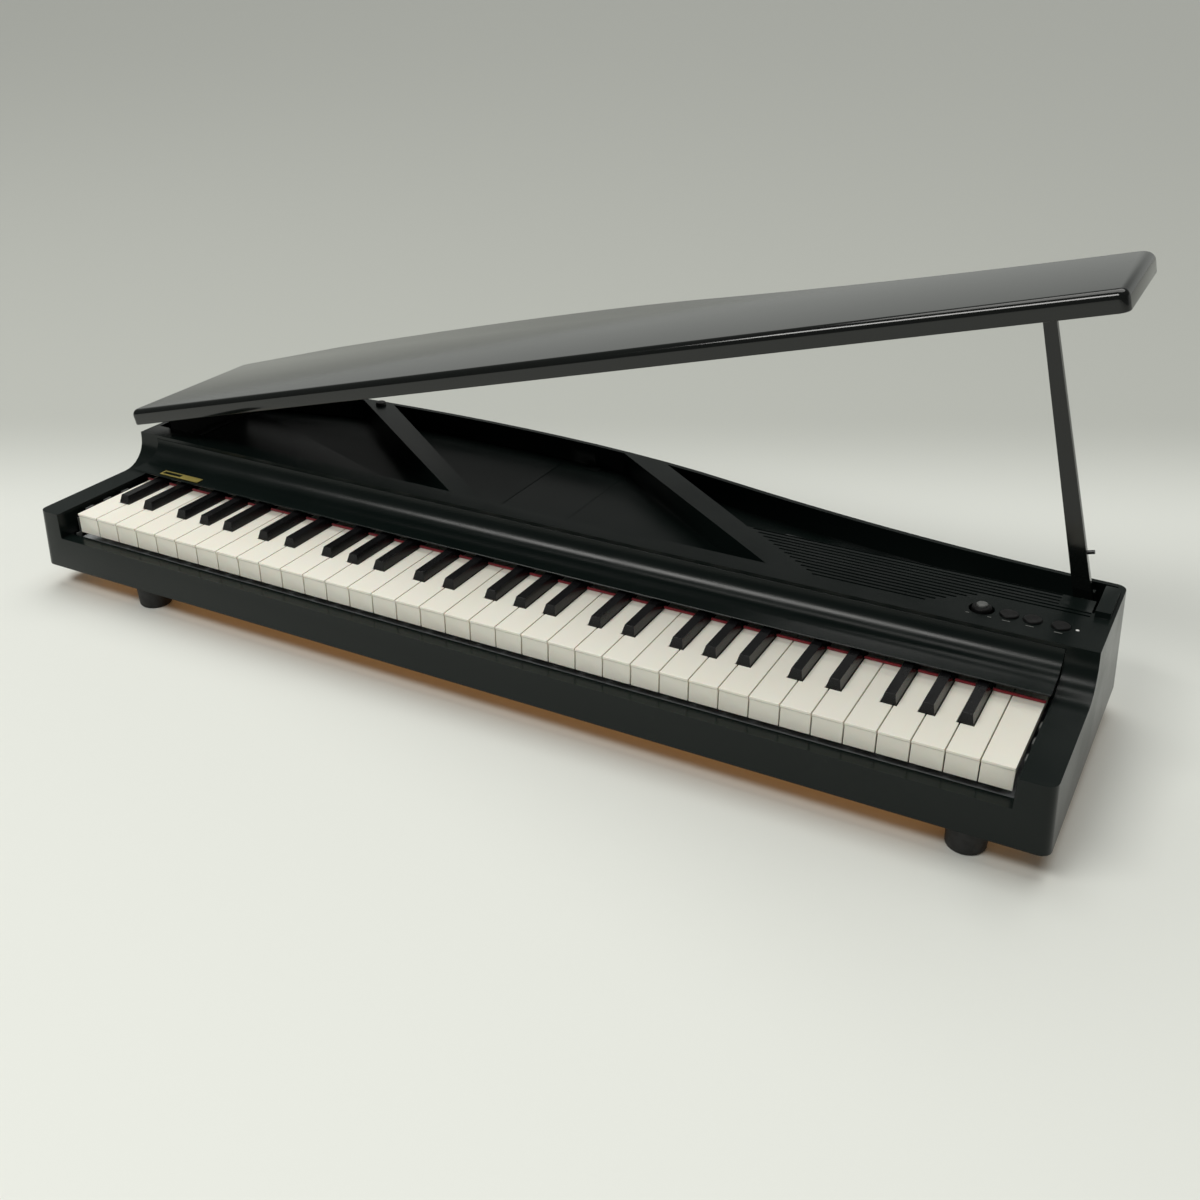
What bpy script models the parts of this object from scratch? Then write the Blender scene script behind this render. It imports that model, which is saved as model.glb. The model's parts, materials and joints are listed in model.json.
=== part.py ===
"""A small digital grand piano: 61 mini keys, a case with a braced top tray, and a propped lid.

The frame is in metres with +Z up. The keyboard faces -Y, the treble end is at +X, and the
origin is on the floor under the middle of the case.
"""

import math

import bmesh
import bpy
from mathutils import Matrix, Vector
from mathutils.geometry import interpolate_bezier

MM = 0.001

# Case outline, seen from above. "Depth" is always the distance behind the front face.
FRONT_Y = -139.75 * MM
HALF_WIDTH = 391.5 * MM
DRAFT = 1.0115
CORNER_RADIUS = 7.0 * MM
LEFT_BACK_DEPTH = 249.3 * MM
SHOULDER = (-289.0 * MM, 270.5 * MM)
WAIST = (92.0 * MM, 252.5 * MM)
RIGHT_BACK_DEPTH = 213.5 * MM
CURVE_STEPS = 12

# Heights
FOOT_HEIGHT = 18.4 * MM
RAIL_TOP = 44.6 * MM
CHEEK_TOP = 65.1 * MM
DECK_UNDER = 70.9 * MM
DECK_TOP = 74.4 * MM
PANEL_UNDER = 90.3 * MM
RIM_TOP = 92.8 * MM

# Case walls and the keyboard opening
WALL = 3.0 * MM
RIM_WALL = 4.0 * MM
GAP = 0.3 * MM
RAIL_DEPTH = 10.5 * MM
OPENING_LEFT = -373.3 * MM
OPENING_RIGHT = 371.4 * MM
UPPER_DEPTH = 114.0 * MM
CHEEK_CURVE = 22.0 * MM
STRIP_BACK = 132.0 * MM
GRILLE_BACK = 182.0 * MM

# Keys
WHITE_COUNT = 36
KEY_PITCH = 20.333 * MM
KEY_START = -363.5 * MM
KEY_GAP = 0.8 * MM
KEY_TOP = 63.9 * MM
KEY_FRONT = 11.5 * MM
KEY_SKIRT_BOTTOM = 47.7 * MM
KEY_THICKNESS = 6.0 * MM
KEY_END = 152.0 * MM
PIVOT_DEPTH = 150.0 * MM
BLACK_FRONT = 43.7 * MM
BLACK_WIDTH = 9.5 * MM
BLACK_TOP_WIDTH = 6.6 * MM
BLACK_TOP = 70.4 * MM
BLACK_CLEARANCE = 0.6 * MM
BLACK_OFFSETS = {0: -2.4 * MM, 1: 2.4 * MM, 3: -3.2 * MM, 4: 0.0, 5: 3.2 * MM}

# Lid and its prop
LID_ANGLE = math.radians(14.744)
LID_PIVOT = (-384.0 * MM, 104.0 * MM)
LID_LENGTH = 790.6 * MM
LID_END_TO_PIVOT = 9.3 * MM
LID_PIVOT_RISE = 1.9 * MM
LID_THICKNESS = 12.9 * MM
LID_FRONT = 108.6 * MM
LID_RECESS = 8.0 * MM
LID_SKIRT = 4.0 * MM
LID_OVERHANG = 1.0 * MM
HINGE_ROD = 2.0 * MM
PROP_PIVOT = (368.0 * MM, 190.4 * MM, 88.3 * MM)
PROP_LEAN = math.radians(15.4)
PROP_LENGTH = 212.2 * MM
PROP_THICKNESS = 5.0 * MM

# Controls, in a row along the front strip
CONTROL_DEPTH = 136.6 * MM
KNOB_X = 313.7 * MM
KNOB_HOLE = 8.3 * MM
BUTTON_XS = {"power_button": 363.4 * MM, "sound_button": 331.2 * MM, "demo_button": 345.9 * MM}
BUTTON_HOLE = 6.25 * MM
LED_X = 373.5 * MM
LED_HOLE = 1.4 * MM

# Battery compartment in the middle bay
COVER_LEFT = -66.6 * MM
COVER_RIGHT = -7.0 * MM
COVER_FRONT = 159.5 * MM
COVER_BACK = 263.5 * MM
TUB_FLOOR = 52.0 * MM

ROUND_STEPS = 24


def y_at(depth):
    """World Y of a distance behind the front face."""
    return FRONT_Y + depth


def clear_scene():
    for obj in list(bpy.data.objects):
        bpy.data.objects.remove(obj, do_unlink=True)


def material(name, color, roughness, metallic=0.0):
    mat = bpy.data.materials.new(name)
    mat.use_nodes = True
    shader = mat.node_tree.nodes["Principled BSDF"]
    shader.inputs["Base Color"].default_value = (*color, 1.0)
    shader.inputs["Roughness"].default_value = roughness
    shader.inputs["Metallic"].default_value = metallic
    return mat


def new_object(name, bm, mat=None, pivot=(0.0, 0.0, 0.0)):
    """An object from a bmesh in world coordinates, with its origin moved to pivot."""
    bmesh.ops.recalc_face_normals(bm, faces=bm.faces)
    mesh = bpy.data.meshes.new(name)
    bm.to_mesh(mesh)
    bm.free()
    mesh.transform(Matrix.Translation(-Vector(pivot)))
    obj = bpy.data.objects.new(name, mesh)
    obj.location = pivot
    bpy.context.scene.collection.objects.link(obj)
    if mat:
        mesh.materials.append(mat)
    return obj


def cutter(name, bm):
    obj = new_object(name, bm)
    obj.hide_render = True
    obj.display_type = "WIRE"
    return obj


def combine(obj, other, operation):
    mod = obj.modifiers.new(f"{operation.lower()} {other.name}", "BOOLEAN")
    mod.operation = operation
    mod.solver = "EXACT"
    mod.object = other


def shade_round(obj, degrees=35):
    obj.data.shade_smooth()
    obj.data.set_sharp_from_angle(angle=math.radians(degrees))


def loft(sections):
    """A closed solid through rings of equal length, capped at both ends."""
    bm = bmesh.new()
    rings = [[bm.verts.new(point) for point in ring] for ring in sections]
    count = len(rings[0])
    for low, high in zip(rings, rings[1:]):
        for i in range(count):
            j = (i + 1) % count
            bm.faces.new((low[i], low[j], high[j], high[i]))
    bm.faces.new(rings[0][::-1])
    bm.faces.new(rings[-1])
    return bm


def upright(points, low, high):
    """A prism over (x, depth) points between two heights."""
    return loft([[(x, y_at(d), z) for x, d in points] for z in (low, high)])


def lengthwise(profile, left, right):
    """A prism along X over (depth, z) points."""
    return loft([[(x, y_at(d), z) for d, z in profile] for x in (left, right)])


def crosswise(profile, near, far):
    """A prism along Y over (x, z) points between two depths."""
    return loft([[(x, y_at(d), z) for x, z in profile] for d in (near, far)])


def block(x0, x1, d0, d1, z0, z1):
    return upright([(x0, d0), (x1, d0), (x1, d1), (x0, d1)], z0, z1)


def ring(radius, steps=ROUND_STEPS):
    """Points of a circle about (0, 0)."""
    angles = [2 * math.pi * i / steps for i in range(steps)]
    return [(radius * math.cos(a), radius * math.sin(a)) for a in angles]


def turned(x, depth, profile, steps=ROUND_STEPS):
    """A solid turned about a vertical axis, from (radius, z) pairs going up."""
    rings = []
    for radius, z in profile:
        rings.append([(x + a, y_at(depth) + b, z) for a, b in ring(radius, steps)])
    return loft(rings)


def rod(x, z, radius, near, far, steps=16):
    return crosswise([(x + a, z + b) for a, b in ring(radius, steps)], near, far)


def merge(*parts):
    """Several bmeshes in one, for cutters whose bodies may stay separate."""
    whole = bmesh.new()
    for part in parts:
        mesh = bpy.data.meshes.new("merged")
        part.to_mesh(mesh)
        part.free()
        whole.from_mesh(mesh)
        bpy.data.meshes.remove(mesh)
    return whole


def arc_corner(before, corner, after, radius, steps=4):
    """The points of an arc that rounds one corner of an outline."""
    to_before = (Vector(before) - Vector(corner)).normalized()
    to_after = (Vector(after) - Vector(corner)).normalized()
    half = to_before.angle(to_after) / 2
    middle = (to_before + to_after).normalized()
    centre = Vector(corner) + middle * (radius / math.sin(half))
    first = Vector(corner) + to_before * (radius / math.tan(half)) - centre
    last = Vector(corner) + to_after * (radius / math.tan(half)) - centre
    turn = first.angle_signed(last)
    points = []
    for i in range(steps + 1):
        arm = first.copy()
        arm.rotate(Matrix.Rotation(-turn * i / steps, 2))
        points.append(tuple(centre + arm))
    return points


def back_curve():
    """The bent side of the case from the left shoulder to the right end, as (x, depth)."""
    shoulder, waist = Vector((*SHOULDER, 0)), Vector((*WAIST, 0))
    end = Vector((HALF_WIDTH, RIGHT_BACK_DEPTH, 0))
    out_of_shoulder = shoulder + Vector((130, 10.5, 0)) * MM
    into_waist = waist + Vector((-110, 26, 0)) * MM
    out_of_waist = waist + Vector((95, -21, 0)) * MM
    into_end = end + Vector((-110, 3, 0)) * MM
    first = interpolate_bezier(shoulder, out_of_shoulder, into_waist, waist, CURVE_STEPS)
    second = interpolate_bezier(waist, out_of_waist, into_end, end, CURVE_STEPS)
    return [(p.x, p.y) for p in first + second[1:]]


def offset_outline(points, distance):
    """The outline moved inwards by distance, or outwards where it is negative."""
    count = len(points)
    moved = []
    for i in range(count):
        here = Vector(points[i])
        back = (here - Vector(points[i - 1])).normalized()
        ahead = (Vector(points[(i + 1) % count]) - here).normalized()
        normal = Vector((-back.y - ahead.y, back.x + ahead.x)).normalized()
        scale = max(normal.dot(Vector((-back.y, back.x))), 0.5)
        moved.append(tuple(here + normal * (distance / scale)))
    return moved


def case_outline():
    """The case at rim height, counter-clockwise from the front left corner."""
    left, right = -HALF_WIDTH, HALF_WIDTH
    curve = back_curve()
    end, before_end = curve[-1], curve[-2]
    points = arc_corner((left, 0.1), (left, 0.0), (0.0, 0.0), CORNER_RADIUS)
    points += arc_corner((0.0, 0.0), (right, 0.0), (right, 0.1), CORNER_RADIUS)
    points += arc_corner((right, 0.0), end, before_end, CORNER_RADIUS)
    points += curve[-2:0:-1]
    points += arc_corner(curve[1], curve[0], (left, LEFT_BACK_DEPTH), CORNER_RADIUS * 3, 2)
    points += arc_corner(curve[0], (left, LEFT_BACK_DEPTH), (left, 0.0), CORNER_RADIUS)
    return points


def drafted(points, z):
    """The outline widened for the draft of the sides at a height."""
    grow = 1 + (DRAFT - 1) * (RIM_TOP - z) / (RIM_TOP - FOOT_HEIGHT)
    return [(x * grow, y_at(d * grow), z) for x, d in points]


def outer_case():
    outline = case_outline()
    return loft([drafted(outline, z) for z in (FOOT_HEIGHT, RIM_TOP)])


def cheek_step():
    """The space above the cheeks and in front of the raised part."""
    start = UPPER_DEPTH - CHEEK_CURVE
    profile = [(-0.01, CHEEK_TOP)]
    for i in range(9):
        angle = math.pi / 2 * i / 8
        profile.append(
            (start + CHEEK_CURVE * math.sin(angle), CHEEK_TOP + CHEEK_CURVE * (1 - math.cos(angle)))
        )
    profile += [(UPPER_DEPTH, 0.11), (-0.01, 0.11)]
    return lengthwise(profile, -0.42, 0.42)


def key_bay():
    """The opening for the keyboard: over the rail, and down to the floor behind it."""
    over_rail = block(OPENING_LEFT, OPENING_RIGHT, -0.01, 0.118, RAIL_TOP, PANEL_UNDER)
    behind_rail = block(OPENING_LEFT, OPENING_RIGHT, RAIL_DEPTH, 0.118, 0.03, PANEL_UNDER - 0.01)
    return over_rail, behind_rail


def inner_space():
    inner = offset_outline(case_outline(), WALL)
    return loft([drafted(inner, FOOT_HEIGHT - 0.001), drafted(inner, 42.1 * MM)])


def under_deck():
    """The hollow behind the key bay, under the deck."""
    inner = [p for p in offset_outline(case_outline(), WALL) if p[1] > 0.13]
    inner += [(-HALF_WIDTH + WALL, 0.117), (HALF_WIDTH - WALL, 0.117)]
    return loft([drafted(inner, 0.04), drafted(inner, DECK_UNDER)])


def under_panel():
    """The hollow under the front strip and the grille."""
    points = [
        (-0.386, 0.117), (0.386, 0.117), (0.386, 0.162), (0.355, 0.162),
        (0.355, 0.179), (0.141, 0.179), (0.2034, 0.1295), (-0.386, 0.1295),
    ]
    return upright(points, DECK_UNDER - 0.002, PANEL_UNDER)


def brace(left_edge, right_edge):
    (a, b), (c, d) = left_edge, right_edge
    return upright([a, b, d, c], DECK_TOP - 0.01, RIM_TOP + 0.02)


def tray():
    """The sunken bays of the top, around two braces, the grille, the prop rest and the stop."""
    inner = [p for p in offset_outline(case_outline(), RIM_WALL) if p[1] > STRIP_BACK]
    inner += [(-HALF_WIDTH + RIM_WALL, STRIP_BACK), (HALF_WIDTH - RIM_WALL, STRIP_BACK)]
    bays = cutter("bays", upright(inner, DECK_TOP, RIM_TOP + 0.01))
    left_brace = brace(
        ((-0.2845, 0.2758), (-0.0912, 0.1320)), ((-0.2600, 0.2832), (-0.0638, 0.1320))
    )
    right_brace = brace(
        ((-0.0290, 0.2795), (0.1672, 0.1320)), ((0.0012, 0.2832), (0.1972, 0.1320))
    )
    grille = upright(
        [(0.1974, 0.125), (0.40, 0.125), (0.40, 0.164), (0.377, 0.164),
         (0.377, 0.1815), (0.1335, 0.1815)],
        DECK_TOP - 0.01,
        RIM_TOP + 0.02,
    )
    stop_block = block(0.3788, 0.40, 0.160, 0.208, DECK_TOP - 0.01, RIM_TOP + 0.02)
    rest = upright(
        [(0.155, 0.180), (0.1767, 0.180), (0.1704, 0.1965), (0.158, 0.1965)],
        DECK_TOP - 0.01,
        86.0 * MM,
    )
    ear = block(0.3625, 0.3735, 0.1965, 0.2005, DECK_TOP - 0.01, 91.5 * MM)
    keep = {"left brace": left_brace, "right brace": right_brace, "grille": grille,
            "stop": stop_block, "prop rest": rest, "prop ear": ear}
    for name, shape in keep.items():
        combine(bays, cutter(name, shape), "DIFFERENCE")
    return bays


def grille_slots():
    """Long sound slots: their left ends follow the brace, and the front ones clear the knob."""
    slots = []
    for i in range(12):
        depth = STRIP_BACK + 4.4 * MM * i
        left = 0.2034 - 1.286 * (depth - 0.1297)
        if i < 6:
            right = 0.2800 + 1.295 * (depth - 0.1336)
        else:
            right = 0.3770 if depth < 0.164 else 0.3560
        slots.append(block(left, right, depth - 0.95 * MM, depth + 0.95 * MM, 0.085, 0.1))
    return merge(*slots)


def control_holes():
    profile = [(1.0, 0.085), (1.0, 0.1)]
    holes = [turned(KNOB_X, CONTROL_DEPTH, [(KNOB_HOLE * r, z) for r, z in profile])]
    for x in BUTTON_XS.values():
        holes.append(turned(x, CONTROL_DEPTH, [(BUTTON_HOLE * r, z) for r, z in profile]))
    holes.append(turned(LED_X, CONTROL_DEPTH, [(LED_HOLE * r, z) for r, z in profile], 12))
    return merge(*holes)


def case_shell(mat):
    shell = new_object("case_shell", outer_case(), mat)
    combine(shell, cutter("cheek step", cheek_step()), "DIFFERENCE")
    over_rail, behind_rail = key_bay()
    combine(shell, cutter("over rail", over_rail), "DIFFERENCE")
    combine(shell, cutter("behind rail", behind_rail), "DIFFERENCE")
    combine(shell, cutter("inner space", inner_space()), "DIFFERENCE")
    combine(shell, cutter("under deck", under_deck()), "DIFFERENCE")
    combine(shell, cutter("under panel", under_panel()), "DIFFERENCE")
    combine(shell, tray(), "DIFFERENCE")
    combine(shell, cutter("slots", grille_slots()), "DIFFERENCE")
    combine(shell, cutter("control holes", control_holes()), "DIFFERENCE")
    stop_pad = block(0.3794, 0.3890, 0.1600, 0.1985, 0.090, 0.0970)
    combine(shell, cutter("stop pad", stop_pad), "UNION")
    tub = block(COVER_LEFT - 0.002, COVER_RIGHT + 0.002, COVER_FRONT - 0.002,
                COVER_BACK + 0.002, TUB_FLOOR - 0.002, DECK_TOP - 0.001)
    combine(shell, cutter("tub", tub), "UNION")
    tub_inside = block(COVER_LEFT + 0.0025, COVER_RIGHT - 0.0025, COVER_FRONT + 0.0025,
                       COVER_BACK - 0.0025, TUB_FLOOR, 0.08)
    combine(shell, cutter("tub inside", tub_inside), "DIFFERENCE")
    cover_seat = block(COVER_LEFT, COVER_RIGHT, COVER_FRONT, COVER_BACK, 72.6 * MM, 0.08)
    combine(shell, cutter("cover seat", cover_seat), "DIFFERENCE")
    notch = block(-0.0455, -0.0285, COVER_BACK - 0.001, COVER_BACK + 0.0045, 72.0 * MM, 0.08)
    combine(shell, cutter("latch notch", notch), "DIFFERENCE")
    x, depth, z = PROP_PIVOT
    pin_hole = rod(x, z, 2.2 * MM, 0.176, 0.204)
    combine(shell, cutter("prop pin hole", pin_hole), "DIFFERENCE")
    jacks = merge(rod(-0.205, 0.042, 3.6 * MM, 0.262, 0.29), rod(-0.180, 0.042, 3.2 * MM, 0.262, 0.29))
    combine(shell, cutter("jack holes", jacks), "DIFFERENCE")
    return shell


def base_board(mat):
    outline = offset_outline(case_outline(), WALL + GAP)
    return new_object("base_board", loft([drafted(outline, z) for z in (FOOT_HEIGHT, 0.0214)]), mat)


def fallboard(mat):
    """The ledge over the keys and the curved wall behind it."""
    lip, ledge_top = 82.8 * MM, 74.4 * MM
    curve_start, curve = 97.5 * MM, 15.9 * MM
    profile = [(lip + 0.4 * MM, 72.4 * MM), (lip, 72.8 * MM), (lip, 73.3 * MM), (lip + 0.5 * MM, 73.8 * MM)]
    for i in range(7):
        angle = math.pi / 2 * i / 6
        profile.append((curve_start + (UPPER_DEPTH - curve_start) * math.sin(angle),
                        ledge_top + curve * (1 - math.cos(angle))))
    back = UPPER_DEPTH + 2.5 * MM
    profile[-1] = (UPPER_DEPTH, PANEL_UNDER - GAP)
    profile += [(back, PANEL_UNDER - GAP), (back, 72.4 * MM)]
    return new_object(
        "fallboard", lengthwise(profile, OPENING_LEFT + GAP, OPENING_RIGHT - GAP), mat
    )


def black_centres():
    """X of each black key, with the number of its octave."""
    found = []
    for white in range(WHITE_COUNT - 1):
        step = white % 7
        if step in BLACK_OFFSETS:
            x = KEY_START + KEY_PITCH * (white + 1) + BLACK_OFFSETS[step]
            found.append((x, white // 7, white))
    return found


def white_key(index, blacks, mat):
    left = KEY_START + KEY_PITCH * index + KEY_GAP / 2
    right = left + KEY_PITCH - KEY_GAP
    clear = BLACK_WIDTH / 2 + BLACK_CLEARANCE
    tail_left, tail_right = left, right
    for x, _, white in blacks:
        if white == index - 1:
            tail_left = x + clear
        if white == index:
            tail_right = x - clear
    under = KEY_TOP - KEY_THICKNESS
    notch = BLACK_FRONT - 0.5 * MM
    profile = [
        (KEY_FRONT, KEY_SKIRT_BOTTOM), (KEY_FRONT, KEY_TOP), (notch, KEY_TOP),
        (notch, under), (KEY_FRONT + 3 * MM, under), (KEY_FRONT + 3 * MM, KEY_SKIRT_BOTTOM),
    ]
    stations = sorted({left, tail_left, tail_right, right})
    bm = loft([[(x, y_at(d), z) for d, z in profile] for x in stations])
    bm.normal_update()
    middle = (tail_left + tail_right) / 2
    backs = [
        f for f in bm.faces
        if abs(f.calc_center_median().y - y_at(notch)) < 1e-6
        and abs(f.calc_center_median().x - middle) < 1e-6
    ]
    grown = bmesh.ops.extrude_face_region(bm, geom=backs)
    verts = [v for v in grown["geom"] if isinstance(v, bmesh.types.BMVert)]
    bmesh.ops.translate(bm, verts=verts, vec=(0, KEY_END - notch, 0))
    bmesh.ops.delete(bm, geom=backs, context="FACES_ONLY")
    pivot = (middle, y_at(PIVOT_DEPTH), 61.0 * MM)
    return new_object(f"white_key_{index + 1:02d}", bm, mat, pivot)


def black_cap(x):
    """One sloping black key with its lever."""
    half, top_half = BLACK_WIDTH / 2, BLACK_TOP_WIDTH / 2
    bottom, shoulder = 58.0 * MM, 64.5 * MM
    end = 98.0 * MM
    sections = [
        (BLACK_FRONT, end, bottom, half),
        (BLACK_FRONT, end, shoulder, half),
        (BLACK_FRONT + 1.7 * MM, end, BLACK_TOP, top_half),
    ]
    rings = []
    for front, back, z, h in sections:
        rings.append([(x - h, y_at(front), z), (x + h, y_at(front), z),
                      (x + h, y_at(back), z), (x - h, y_at(back), z)])
    return loft(rings)


def black_keys(octave, blacks, mat):
    """Five black keys moulded as one comb on a spine over the white keys' tails."""
    xs = [x for x, of_octave, _ in blacks if of_octave == octave]
    spine = block(xs[0] - 4 * MM, xs[-1] + 4 * MM, 0.140, KEY_END, 64.9 * MM, 69.5 * MM)
    pivot = (sum(xs) / len(xs), y_at(PIVOT_DEPTH), 67.0 * MM)
    comb = new_object(f"black_keys_{octave + 1}", spine, mat, pivot)
    for i, x in enumerate(xs):
        name = f"octave {octave + 1} black {i + 1}"
        lever = cutter(f"{name} lever", block(x - 3 * MM, x + 3 * MM, 0.096, 0.142, 64.7 * MM, 69.2 * MM))
        combine(comb, lever, "UNION")
        combine(comb, cutter(f"{name} cap", black_cap(x)), "UNION")
    return comb


def key_chassis(mat):
    """The tray that the keys hinge on: a plate, a front stop rail and a rear hinge rail."""
    profile = [
        (16 * MM, 22.5 * MM), (157 * MM, 22.5 * MM), (157 * MM, 66 * MM), (154 * MM, 66 * MM),
        (154 * MM, 25 * MM), (26 * MM, 25 * MM), (26 * MM, 40 * MM), (18 * MM, 40 * MM),
        (18 * MM, 25 * MM), (16 * MM, 25 * MM),
    ]
    return new_object("key_chassis", lengthwise(profile, -0.3700, 0.3690), mat)


def key_felt(blacks, mat):
    """The red felt strip over the white keys, notched round the black ones."""
    left, right = KEY_START, KEY_START + KEY_PITCH * WHITE_COUNT
    front, back, low, high = 88.0 * MM, 89.6 * MM, 64.4 * MM, 71.0 * MM
    profile = [(left, 72.1 * MM), (left, low)]
    for x, _, _ in blacks:
        half = BLACK_WIDTH / 2 + BLACK_CLEARANCE
        profile += [(x - half, low), (x - half, high), (x + half, high), (x + half, low)]
    profile += [(right, low), (right, 72.1 * MM)]
    return new_object("key_felt", crosswise(profile, front, back), mat)


def lid_outline():
    """The lid seen from above when level, measured from its left end."""
    right = LID_LENGTH
    points = [(0.0, LID_FRONT), (right, LID_FRONT)]
    stretch = LID_LENGTH / (2 * HALF_WIDTH)
    curve = [(x * stretch + LID_LENGTH / 2, d + LID_OVERHANG) for x, d in back_curve()]
    points += [(right, curve[-1][1])]
    points += curve[-2::-1]
    points += [(0.0, LEFT_BACK_DEPTH + LID_OVERHANG)]
    return points


def lid(mat):
    """A shell with a rounded top edge, open underneath, with two lugs round the hinge rod."""
    px, pz = LID_PIVOT
    left = px - LID_END_TO_PIVOT
    under = pz - LID_PIVOT_RISE
    top = under + LID_THICKNESS
    outline = lid_outline()
    sections = []
    for inset, z in ((0.6, under), (0.0, under + 0.6 * MM), (0.0, top - 5 * MM),
                     (0.9, top - 2.2 * MM), (2.4, top - 0.6 * MM), (4.4, top)):
        ring_points = offset_outline(outline, inset * MM)
        sections.append([(left + x, y_at(d), z) for x, d in ring_points])
    pivot = (px, FRONT_Y, pz)
    body = new_object("lid", loft(sections), mat, pivot)
    recess = [(left + x, d) for x, d in offset_outline(outline, LID_SKIRT)]
    combine(body, cutter("lid recess", upright(recess, under - 0.01, under + LID_RECESS)), "DIFFERENCE")
    for i, depth in enumerate((0.132, 0.242)):
        lug = block(px - 4 * MM, px + 4 * MM, depth, depth + 6 * MM, pz - 4.1 * MM, under + 0.0095)
        combine(body, cutter(f"lid lug {i + 1}", lug), "UNION")
    hole = rod(px, pz, HINGE_ROD + 0.4 * MM, 0.125, 0.2455)
    combine(body, cutter("lid rod hole", hole), "DIFFERENCE")
    for obj in (body, *(bpy.data.objects[n] for n in
                        ("lid recess", "lid lug 1", "lid lug 2", "lid rod hole"))):
        turn_about(obj, pivot, -LID_ANGLE)
    return body


def turn_about(obj, pivot, angle):
    """Turn an object about a line through pivot along Y."""
    turn = Matrix.Rotation(angle, 4, "Y")
    place = Matrix.Translation(pivot) @ turn @ Matrix.Translation(-Vector(pivot))
    obj.matrix_world = place @ Matrix.Translation(obj.location)


def lid_hinge(mat):
    """A plate inside the left rim with the rod that the lid turns on."""
    px, pz = LID_PIVOT
    plate = block(px - 1 * MM, px + 1 * MM, 0.140, 0.240, DECK_TOP + GAP, pz)
    hinge = new_object("lid_hinge", plate, mat, (px, FRONT_Y, pz))
    combine(hinge, cutter("hinge rod", rod(px, pz, HINGE_ROD, 0.130, 0.2445)), "UNION")
    foot = block(px - 1 * MM, px + 9 * MM, 0.140, 0.240, DECK_TOP + GAP, DECK_TOP + 2.3 * MM)
    combine(hinge, cutter("hinge foot", foot), "UNION")
    return hinge


def prop_stick(mat):
    """A tapered stick with a round foot, a cross pin and a finger peg."""
    x, depth, z = PROP_PIVOT
    near, far = depth - PROP_THICKNESS / 2, depth + PROP_THICKNESS / 2
    foot, neck, tip = 6.0 * MM, 5.6 * MM, 3.9 * MM
    profile = [(x + foot * math.cos(a), z + foot * math.sin(a))
               for a in [math.pi + math.pi * i / 8 for i in range(9)]]
    profile += [(x + neck, z + 0.03), (x + tip, z + PROP_LENGTH - 1.2 * MM),
                (x + tip - 1.2 * MM, z + PROP_LENGTH)]
    profile += [(x - tip + 1.2 * MM, z + PROP_LENGTH), (x - tip, z + PROP_LENGTH - 1.2 * MM),
                (x - neck, z + 0.03)]
    pivot = (x, y_at(depth), z)
    stick = new_object("prop_stick", crosswise(profile, near, far), mat, pivot)
    pin = cutter("prop pin", rod(x, z, 1.8 * MM, 0.178, 0.2025))
    combine(stick, pin, "UNION")
    peg = loft([[(x + along, y_at(depth) + a, z + 0.033 + b) for a, b in ring(1.4 * MM, 12)]
                for along in (2 * MM, 10.5 * MM)])
    combine(stick, cutter("prop peg", peg), "UNION")
    for obj in (stick, pin, bpy.data.objects["prop peg"]):
        turn_about(obj, pivot, -PROP_LEAN)
    return stick


def volume_knob(mat):
    profile = [(2.8, 78.0), (2.8, 86.4), (6.2, 86.4), (6.2, 95.2), (5.6, 96.2), (4.4, 96.8)]
    bm = turned(KNOB_X, CONTROL_DEPTH, [(r * MM, z * MM) for r, z in profile])
    knob = new_object("volume_knob", bm, mat, (KNOB_X, y_at(CONTROL_DEPTH), 92.0 * MM))
    shade_round(knob)
    return knob


def button(name, x, mat):
    profile = [(7.2, 87.0), (7.2, 88.6), (5.95, 88.6), (5.95, 93.4), (5.5, 94.0)]
    bm = turned(x, CONTROL_DEPTH, [(r * MM, z * MM) for r, z in profile])
    obj = new_object(name, bm, mat, (x, y_at(CONTROL_DEPTH), 92.0 * MM))
    shade_round(obj)
    return obj


def battery_cover(mat):
    low, high = 72.9 * MM, DECK_TOP
    points = [
        (COVER_LEFT + GAP, COVER_FRONT + GAP), (COVER_RIGHT - GAP, COVER_FRONT + GAP),
        (COVER_RIGHT - GAP, COVER_BACK - GAP), (-0.0310, COVER_BACK - GAP),
        (-0.0310, COVER_BACK + 0.0030), (-0.0430, COVER_BACK + 0.0030),
        (-0.0430, COVER_BACK - GAP), (COVER_LEFT + GAP, COVER_BACK - GAP),
    ]
    return new_object("battery_cover", upright(points, low, high), mat)


def foot(name, x, depth, mat):
    profile = [(11.6, 0.0), (12.4, 1.0), (13.2, 16.6), (13.2, 18.1)]
    obj = new_object(name, turned(x, depth, [(r * MM, z * MM) for r, z in profile]), mat)
    shade_round(obj)
    return obj


def speaker(mat):
    """A flat driver under the grille."""
    profile = [(11.0, 72.0), (11.0, 77.5), (14.0, 78.5), (21.0, 85.5), (23.0, 85.5), (23.0, 87.5)]
    obj = new_object("speaker", turned(0.262, 0.1555, [(r * MM, z * MM) for r, z in profile], 32), mat)
    shade_round(obj)
    return obj


def main_board(mat):
    return new_object("main_board", block(0.120, 0.330, 0.166, 0.206, 0.040, 0.0416), mat)


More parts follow.
